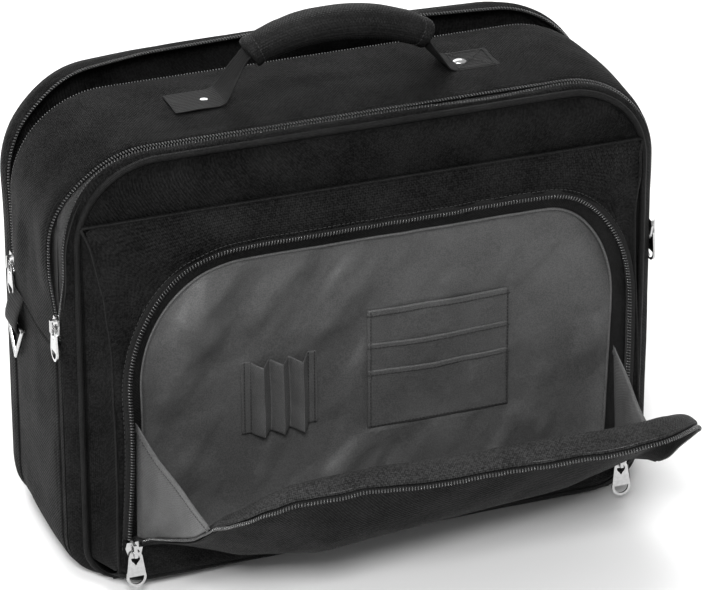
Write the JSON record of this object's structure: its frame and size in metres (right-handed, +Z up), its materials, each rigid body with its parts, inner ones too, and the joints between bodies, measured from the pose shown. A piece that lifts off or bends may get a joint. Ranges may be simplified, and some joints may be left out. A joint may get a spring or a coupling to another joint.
{
  "type": "flight bag",
  "caption": "Soft black flight bag with two zipped compartments, a drop-front organiser pocket held by side webs, a padded top handle and side rings.",
  "frame": {"origin": "middle of the bottom of the closed bag, on the surface it stands on", "axes": "+X to the right seen from the front, -Y towards the front pocket, +Z up"},
  "size_m": [0.4478, 0.3626, 0.37],
  "materials": {
    "outer_cloth": "black woven polyester with a fine basket weave",
    "lining_cloth": "black-grey plain-weave lining with a soft sheen",
    "piping": "black cloth over a round cord",
    "webbing": "black ribbed polypropylene webbing",
    "zip_coil": "black nylon coil",
    "board": "plain stiffener board",
    "nickel": "bright nickel plate"
  },
  "bodies": {
    "shell": {"centre_gusset": "outer_cloth", "base_panel": "outer_cloth", "base_board": "board", "divider_panel": "lining_cloth", "main_lining": "lining_cloth", "rear_gusset_lower": "outer_cloth", "rear_panel_lower": "outer_cloth", "rear_piping_lower": "piping", "front_gusset_lower": "outer_cloth", "front_panel_lower": "outer_cloth", "front_piping_lower": "piping", "front_zip_body_chain": "zip_coil", "rear_zip_body_chain": "zip_coil", "pocket_face_lower": "outer_cloth", "pocket_sides_lower": "outer_cloth", "pocket_bottom": "outer_cloth", "pocket_zip_frame_lower": "zip_coil", "organiser_lower": "lining_cloth", "card_pocket_back": "lining_cloth", "card_pocket_tiers": "lining_cloth", "pen_loops": "lining_cloth", "ring_tab_left": "webbing", "ring_tab_right": "webbing", "handle_tabs": "webbing", "handle_rivets": "nickel", "rivet_backs": "nickel", "left_web": "lining_cloth", "right_web": "lining_cloth"},
    "front_lid": {"front_gusset_upper": "outer_cloth", "front_panel_upper": "outer_cloth", "front_piping_upper": "piping", "front_zip_lid_chain": "zip_coil", "pocket_face_upper": "outer_cloth", "pocket_sides_upper": "outer_cloth", "pocket_zip_frame_upper": "zip_coil", "organiser_upper": "lining_cloth"},
    "rear_lid": {"rear_gusset_upper": "outer_cloth", "rear_panel_upper": "outer_cloth", "rear_piping_upper": "piping", "rear_zip_lid_chain": "zip_coil"},
    "pocket_flap": {"flap_panel": "outer_cloth", "flap_lining": "lining_cloth", "flap_facing": "outer_cloth", "flap_zip_chain": "zip_coil"},
    "handle": {"handle_legs": "webbing", "handle_grip": "outer_cloth"},
    "slider_front_left": {"slider_front_left": "nickel"},
    "pull_front_left": {"pull_front_left": "nickel"},
    "slider_front_right": {"slider_front_right": "nickel"},
    "pull_front_right": {"pull_front_right": "nickel"},
    "slider_rear_left": {"slider_rear_left": "nickel"},
    "pull_rear_left": {"pull_rear_left": "nickel"},
    "slider_rear_right": {"slider_rear_right": "nickel"},
    "pull_rear_right": {"pull_rear_right": "nickel"},
    "slider_pocket_left": {"slider_pocket_left": "nickel"},
    "pull_pocket_left": {"pull_pocket_left": "nickel"},
    "slider_pocket_right": {"slider_pocket_right": "nickel"},
    "pull_pocket_right": {"pull_pocket_right": "nickel"},
    "ring_left": {"ring_left": "nickel"},
    "ring_right": {"ring_right": "nickel"}
  },
  "joints": [
    {"name": "front_lid_fold", "type": "hinge", "parent": "shell", "child": "front_lid", "pos_m": [0, -0.06, 0.18], "axis": [1, 0, 0], "range_deg": [0, 20]},
    {"name": "rear_lid_fold", "type": "hinge", "parent": "shell", "child": "rear_lid", "pos_m": [0, 0.082, 0.18], "axis": [-1, 0, 0], "range_deg": [-12, 35]},
    {"name": "flap_fold", "type": "hinge", "parent": "shell", "child": "pocket_flap", "pos_m": [0, -0.08665, 0.03965], "axis": [1, 0, 0], "range_deg": [-60, 0], "deforming": ["left_web", "right_web"]},
    {"name": "handle_swing", "type": "hinge", "parent": "shell", "child": "handle", "pos_m": [0, 0.005, 0.321], "axis": [1, 0, 0], "range_deg": [-60, 60]},
    {"name": "front_slider_left", "type": "slide", "parent": "shell", "child": "slider_front_left", "axis": [0, 0, 1], "range_m": [0, 0.045]},
    {"name": "front_pull_left", "type": "hinge", "parent": "slider_front_left", "child": "pull_front_left", "pos_m": [-0.2187, -0.046, 0.195], "axis": [0, 1, 0], "range_deg": [0, 170]},
    {"name": "front_slider_right", "type": "slide", "parent": "shell", "child": "slider_front_right", "axis": [0, 0, 1], "range_m": [0, 0.045]},
    {"name": "front_pull_right", "type": "hinge", "parent": "slider_front_right", "child": "pull_front_right", "pos_m": [0.2187, -0.046, 0.195], "axis": [0, -1, 0], "range_deg": [0, 170]},
    {"name": "rear_slider_left", "type": "slide", "parent": "shell", "child": "slider_rear_left", "axis": [0, 0, 1], "range_m": [0, 0.045]},
    {"name": "rear_pull_left", "type": "hinge", "parent": "slider_rear_left", "child": "pull_rear_left", "pos_m": [-0.2187, 0.057, 0.195], "axis": [0, 1, 0], "range_deg": [0, 170]},
    {"name": "rear_slider_right", "type": "slide", "parent": "shell", "child": "slider_rear_right", "axis": [0, 0, 1], "range_m": [0, 0.045]},
    {"name": "rear_pull_right", "type": "hinge", "parent": "slider_rear_right", "child": "pull_rear_right", "pos_m": [0.2187, 0.057, 0.195], "axis": [0, -1, 0], "range_deg": [0, 170]},
    {"name": "pocket_slider_left", "type": "slide", "parent": "shell", "child": "slider_pocket_left", "axis": [0, 0.1088, 0.9941], "range_m": [0, 0.105]},
    {"name": "pocket_pull_left", "type": "hinge", "parent": "slider_pocket_left", "child": "pull_pocket_left", "pos_m": [-0.18, -0.09165, 0.03718], "axis": [-1, 0, 0], "range_deg": [0, 170]},
    {"name": "pocket_slider_right", "type": "slide", "parent": "shell", "child": "slider_pocket_right", "axis": [0, 0.1088, 0.9941], "range_m": [0, 0.105]},
    {"name": "pocket_pull_right", "type": "hinge", "parent": "slider_pocket_right", "child": "pull_pocket_right", "pos_m": [0.18, -0.09165, 0.03718], "axis": [-1, 0, 0], "range_deg": [0, 170]},
    {"name": "ring_left_swing", "type": "hinge", "parent": "shell", "child": "ring_left", "pos_m": [-0.2205, 0.044, 0.157], "axis": [0, 1, 0], "range_deg": [-5, 140]},
    {"name": "ring_right_swing", "type": "hinge", "parent": "shell", "child": "ring_right", "pos_m": [0.2205, 0.044, 0.157], "axis": [0, -1, 0], "range_deg": [-5, 140]}
  ]
}
